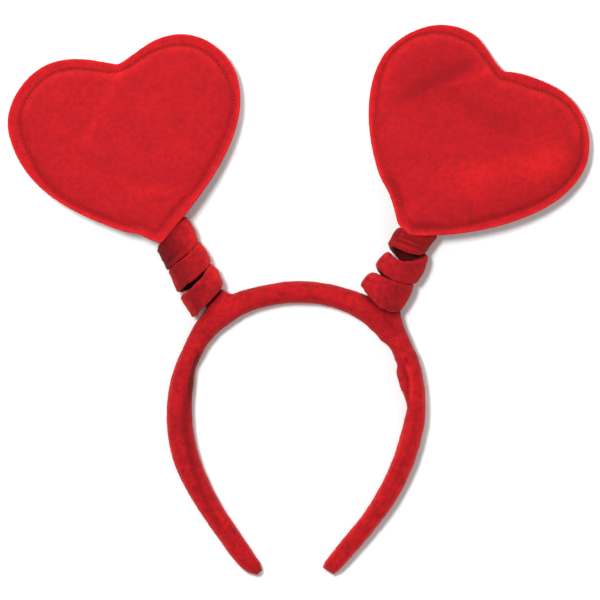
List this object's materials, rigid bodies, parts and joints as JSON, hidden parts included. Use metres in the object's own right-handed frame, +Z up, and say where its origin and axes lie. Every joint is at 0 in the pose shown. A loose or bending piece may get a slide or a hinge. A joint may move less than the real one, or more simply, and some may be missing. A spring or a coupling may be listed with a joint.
{
  "type": "heart head bopper headband",
  "caption": "Plush headband with padded hearts that bob on coiled, fabric-covered springs.",
  "frame": {"origin": "middle of the whole outline, on the surface that the boppers lie on", "axes": "+X to the wearer's left across both hearts, +Y from the band's tips towards the hearts, +Z up from the surface"},
  "size_m": [0.2788, 0.2638, 0.0241],
  "materials": {
    "band_velour": "red plush velour with a mottled nap",
    "spring_velour": "dark red plush velour",
    "heart_felt": "red brushed felt with a short nap"
  },
  "bodies": {
    "root": {"headband": "band_velour", "left_spring": "spring_velour", "right_spring": "spring_velour", "left_heart_front": "heart_felt", "left_heart_back": "heart_felt", "right_heart_front": "heart_felt", "right_heart_back": "heart_felt"}
  },
  "joints": []
}
